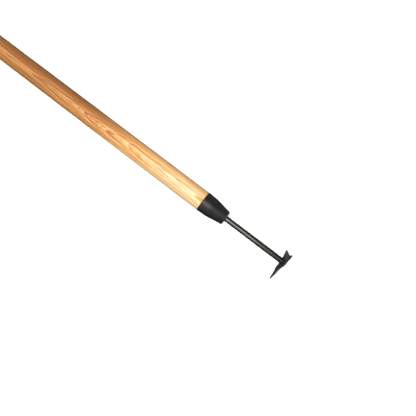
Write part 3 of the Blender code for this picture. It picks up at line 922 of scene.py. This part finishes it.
def mottled_forged_steel():
    finish, tree, where = start_finish("mottled_forged_steel")
    beak_turn = math.atan2(-math.sin(BLADE_ROLL + math.pi / 2), math.sin(BLADE_ROLL))
    on_plate = measured_from(tree, where, (KNOB_TIP_X + PLATE_BACK, AXIS_Y, AXIS_Z), beak_turn)
    _, beak, side = parts_of(tree, on_plate)
    facing = facing_along(tree)
    front = fade(tree, facing, 0.15, 0.5)
    cloud = noise(tree, on_plate, (95, 95, 95), 3.0, 0.55)
    blush = noise(tree, on_plate, (130, 130, 130), 2.0)
    fine = noise(tree, on_plate, (900, 900, 900), 4.0, 0.65)
    bare, flake = flaked_scale(tree, on_plate, cloud, fine)

    # The back keeps its dark scale. The back of the beak and the sheared sides of the plate are painted
    # darker still as shade.
    back = tint(tree, fade(tree, bare, 0.1, 1.0), BACK_SCALE, BACK_STEEL)
    back = tint(tree, fade(tree, beak, 0.001, 0.008), back, BACK_OF_BEAK_SHADE)
    sheared_side_shade = times(tree, fade(tree, calc(tree, "ABSOLUTE", facing), 0.45, 0.15), 0.85)

    # Work has polished the ridge of the beak, and a painted highlight lies along it, widest where it leaves
    # the washer.
    seat_edge = WASHER_DIAMETER / 2
    narrow_from = seat_edge + RIDGE_NARROWING_LENGTH
    ridge_half = fade(tree, beak, narrow_from, seat_edge, RIDGE_HALF_WIDTH, RIDGE_HALF_WIDTH_AT_SEAT)
    off_ridge = calc(tree, "ABSOLUTE", calc(tree, "SUBTRACT", side, RIDGE_SIDE))
    off_ridge = calc(tree, "DIVIDE", off_ridge, ridge_half)
    off_ridge = plus(tree, calc(tree, "SUBTRACT", off_ridge, 0.2), fine, 0.4)
    ridge_polish_and_highlight = times(tree, fade(tree, off_ridge, 1.25, 0.6), fade(tree, beak, seat_edge * 0.8, seat_edge), front)

    # Dirt and painted contact shade lie round the washer's edge, and the upright wing's tip was burnt darker
    # in the fire.
    dirt_and_contact_shade = fade(tree, distance(tree, beak, side), seat_edge + 0.0013, seat_edge + 0.0001)
    dirt_and_contact_shade = times(tree, dirt_and_contact_shade, front, fade(tree, beak, 0.004, -0.002, 0.3, 1.0))
    darkened_end = times(tree, fade(tree, side, -0.0185, -0.0225), fade(tree, fine, 0.2, 0.6, 0.88, 1.0))
    skin = layered(tree, back, (
        (front, front_skin(tree, bare, cloud, blush, facing, beak, side)),
        (sheared_side_shade, SHEARED_SIDE_SHADE),
        (ridge_polish_and_highlight, POLISHED_RIDGE_AND_HIGHLIGHT),
        (dirt_and_contact_shade, SEAT_DIRT_AND_SHADE),
        (darkened_end, BURNT_TIP),
    ))
    rough = plus(tree, plus(tree, plus(tree, 0.52, bare, -0.1), ridge_polish_and_highlight, -0.2), fine, 0.1)
    surface = {"Base Color": skin, "Roughness": rough, "Metallic": fade(tree, front, 0.0, 1.0, 0.3, 0.7)}
    relief = plus(tree, times(tree, fine, 0.7), flake, -0.8)
    show(tree, surface, relief, strength=0.45, depth=0.00012)
    return finish


blade = finished_piece("star_blade", pressed_plate(), mottled_forged_steel(), BLADE_CREASE_ANGLE)
edge_bevel = blade.modifiers.new("edge_bevel", "BEVEL")
edge_bevel.width = BLADE_EDGE_BEVEL
edge_bevel.segments = 2
edge_bevel.limit_method = "ANGLE"
edge_bevel.angle_limit = BLADE_BEVEL_FROM_ANGLE
edge_bevel.harden_normals = True
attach(blade, "root")
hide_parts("blade")

# Washer
# A small crowned washer turned from steel bar. It sits on the plate's flat seat round the spigot. The
# spigot's peened end fills its countersink and holds it down.
WASHER_EDGE_HEIGHT = 0.0006
WASHER_EDGE_RADIUS = 0.0003
WASHER_SIDES = 96
CROWN_STEPS = 12
WASHER_EASING_STEPS = 5
WASHER_CREASE_ANGLE = 30
TOOL_MARKS_A_METRE = 5200.0
WASHER_STEEL = colour(0.36, 0.36, 0.345)
PALE_WASHER_STEEL = colour(0.66, 0.66, 0.64)
TOOL_MARK_STEEL = colour(0.76, 0.76, 0.74)
WASHER_DIRT_AND_SHADE = colour(0.06, 0.056, 0.052)
# How far from the axis the dirt and painted shade start to show and show in full, in metres.
EDGE_DIRT_AND_SHADE = (0.0062, 0.0069)
SINK_DIRT_AND_SHADE = (0.0045, 0.0041)


def washer_profile():
    """Over the crown from the countersink, round the edge, along the back and up the bore."""
    bore = SPIGOT_DIAMETER / 2 + PIECE_GAP
    sink = PEEN_DIAMETER / 2 + PIECE_GAP
    edge = WASHER_DIAMETER / 2
    edge_station = WASHER_BACK + WASHER_EDGE_HEIGHT
    crown = []
    for step in range(CROWN_STEPS + 1):
        share = step / CROWN_STEPS
        radius = sink + (edge - WASHER_EDGE_RADIUS - sink) * share
        crown.append(Vector((WASHER_FRONT - (WASHER_FRONT - edge_station) * share**2, radius)))
    corners = [
        (crown[-1].y, crown[-1].x, 0),
        (edge, edge_station, WASHER_EDGE_RADIUS),
        (edge, WASHER_BACK, 0),
        (bore, WASHER_BACK, 0),
    ]
    countersink = [
        Vector((PEEN_FRONT - PEEN_HEIGHT - PIECE_GAP, bore)),
        Vector((PEEN_FRONT - PEEN_HEIGHT / 2 - PIECE_GAP, sink)),
    ]
    return crown + eased_profile(corners, WASHER_EASING_STEPS)[1:] + countersink


def turned_steel():
    finish, tree, where = start_finish("turned_steel")
    out = distance_from_axis(tree, where)
    values = {"W": out, "Scale": TOOL_MARKS_A_METRE, "Detail": 2.0}
    tool_mark = add_node(tree, "TexNoise", values, noise_dimensions="1D").outputs[0]
    stain = noise(tree, where, (420, 420, 420), 3.0, 0.6)
    # Dirt and painted contact shade lie at the washer's edge and round the peened end.
    dirt_and_contact_shade = calc(tree, "MAXIMUM", fade(tree, out, *EDGE_DIRT_AND_SHADE), fade(tree, out, *SINK_DIRT_AND_SHADE))
    steel = layered(tree, WASHER_STEEL, (
        (fade(tree, stain, 0.3, 0.7), PALE_WASHER_STEEL),
        (fade(tree, tool_mark, 0.4, 0.7, 0.0, 0.4), TOOL_MARK_STEEL),
        (times(tree, dirt_and_contact_shade, fade(tree, stain, 0.25, 0.6, 0.5, 0.9)), WASHER_DIRT_AND_SHADE),
    ))
    surface = {"Base Color": steel, "Roughness": plus(tree, 0.38, stain, 0.2), "Metallic": 0.9}
    show(tree, surface, relief=plus(tree, tool_mark, stain, 0.6), strength=0.4, depth=0.00005)
    return finish


washer = finished_piece(
    "crowned_washer",
    turn_round_axis(washer_profile(), WASHER_SIDES, closed=True),
    turned_steel(),
    WASHER_CREASE_ANGLE,
)
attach(washer, "root")
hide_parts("washer")

# Studio
# The tool lies on a plain pale floor in front of a pale wall, under one large soft light above the camera.
# A low light, a back light and an end light fill the shadows, and the camera looks down at the collar.
FLOOR_HALF_WIDTH = 9.0
FLOOR_SQUARES = 8
FLOOR_DROP = 0.0002
FLOOR_GLOW = 0.5
PALE_FLOOR = colour(0.93, 0.93, 0.93)
BACKDROP_RADIUS = 8.9
BACKDROP_HEIGHT = 12.0
BACKDROP_SIDES = 96
PALE_BACKDROP = colour(0.78, 0.78, 0.78)
STAGE_CREASE_ANGLE = 30
ROOM_WHITE = colour(1.0, 1.0, 1.0)
ROOM_LIGHT = 0.125


def plain_finish(name, values):
    finish = bpy.data.materials.new(name)
    finish.use_nodes = True
    show(finish.node_tree, values)
    return finish


ground = bmesh.new()
bmesh.ops.create_grid(ground, x_segments=FLOOR_SQUARES, y_segments=FLOOR_SQUARES, size=FLOOR_HALF_WIDTH)
bmesh.ops.translate(ground, vec=(0, 0, -FLOOR_DROP), verts=ground.verts)
paper = plain_finish("pale_paper", {
    "Base Color": PALE_FLOOR,
    "Roughness": 0.9,
    "Specular IOR Level": 0.1,
    "Emission Color": PALE_FLOOR,
    "Emission Strength": FLOOR_GLOW,
})
floor = finished_piece("pale_floor", ground, paper, STAGE_CREASE_ANGLE)
floor.visible_diffuse = False
floor.visible_glossy = False

wall = bmesh.new()
foot = bmesh.ops.create_circle(wall, radius=BACKDROP_RADIUS, segments=BACKDROP_SIDES)["verts"]
bmesh.ops.translate(wall, vec=(0, 0, -BACKDROP_HEIGHT / 4), verts=foot)
raised = bmesh.ops.extrude_edge_only(wall, edges=wall.edges[:])["geom"]
top = [part for part in raised if isinstance(part, bmesh.types.BMVert)]
bmesh.ops.translate(wall, vec=(0, 0, BACKDROP_HEIGHT), verts=top)
glow = plain_finish("lit_backdrop", {
    "Base Color": colour(0.0, 0.0, 0.0),
    "Specular IOR Level": 0.0,
    "Emission Color": PALE_BACKDROP,
    "Emission Strength": 1.0,
})
backdrop = finished_piece("pale_backdrop", wall, glow, STAGE_CREASE_ANGLE)
backdrop.visible_diffuse = False
backdrop.visible_glossy = False
backdrop.visible_shadow = False

room = bpy.data.worlds.new("room")
room.use_nodes = True
set_inputs(room.node_tree, room.node_tree.nodes["Background"], {"Color": ROOM_WHITE, "Strength": ROOM_LIGHT})
bpy.context.scene.world = room
bpy.context.scene.view_settings.view_transform = "Standard"

# Each light's name, its place and the point that it faces, its width in metres and its power in watts.
LIGHTS = (
    ("softbox", Vector((-0.45, -3.37, 5.30)), Vector((0.56, 0.0, 0.016)), 2.6, 555.0),
    ("low_light", Vector((0.4, -4.6, 0.35)), Vector((0.5, 0.0, 0.016)), 2.2, 38.0),
    ("back_light", Vector((0.6, 5.6, 3.0)), Vector((0.2, 0.0, 0.016)), 2.6, 32.0),
    ("end_light", Vector((2.6, 0.12, 0.30)), Vector((0.755, 0.0, 0.016)), 0.45, 38.0),
)
for name, place, aim, width, power in LIGHTS:
    panel = bpy.data.lights.new(name, "AREA")
    panel.shape = "SQUARE"
    panel.size = width
    panel.energy = power
    stand = new_object(name, panel)
    stand.location = place
    stand.rotation_euler = (aim - place).to_track_quat("-Z", "Y").to_euler()
    stand.visible_camera = False

# The photograph is 416 pixels square. Its collar ends at the pixel below, and a pixel there covers 1.477 mm.
PICTURE_SIDE = 416
FOCAL_LENGTH_IN_PIXELS = 350
COLLAR_END_PIXEL = (225.75, 218.55)
MM_PER_PIXEL = 1.477
TOOL_SLOPE_IN_PICTURE = math.radians(37.2)
TOOL_LEAN_TO_CAMERA = math.radians(2.9)
CAMERA_ELEVATION = math.radians(63)
SENSOR_WIDTH_MM = 36
NEAREST_SEEN = 0.01

tool_seen = Vector(
    (
        math.cos(TOOL_LEAN_TO_CAMERA) * math.cos(TOOL_SLOPE_IN_PICTURE),
        -math.cos(TOOL_LEAN_TO_CAMERA) * math.sin(TOOL_SLOPE_IN_PICTURE),
        math.sin(TOOL_LEAN_TO_CAMERA),
    )
)
towards_camera = Vector((0, 0, 1))
square_seen = (towards_camera - tool_seen * towards_camera.dot(tool_seen)).normalized()
tool_real = Vector((1, 0, 0))
square_real = Vector((0, -math.cos(CAMERA_ELEVATION), math.sin(CAMERA_ELEVATION)))
seen = Matrix((tool_seen, square_seen, tool_seen.cross(square_seen)))
real = Matrix((tool_real, square_real, tool_real.cross(square_real))).transposed()
turn = real @ seen
away = MM_PER_PIXEL * FOCAL_LENGTH_IN_PIXELS / 1000
from_middle = [(pixel - PICTURE_SIDE / 2) / FOCAL_LENGTH_IN_PIXELS for pixel in COLLAR_END_PIXEL]
collar_end_seen = Vector((from_middle[0] * away, -from_middle[1] * away, -away))
collar_end_place = Vector((KNOB_TIP_X + COLLAR_END, AXIS_Y, AXIS_Z))

lens = bpy.data.cameras.new("camera")
lens.sensor_width = SENSOR_WIDTH_MM
lens.lens = FOCAL_LENGTH_IN_PIXELS / PICTURE_SIDE * lens.sensor_width
lens.clip_start = NEAREST_SEEN
camera = new_object("camera", lens)
camera.matrix_world = Matrix.Translation(collar_end_place - turn @ collar_end_seen) @ turn.to_4x4()
bpy.context.scene.camera = camera
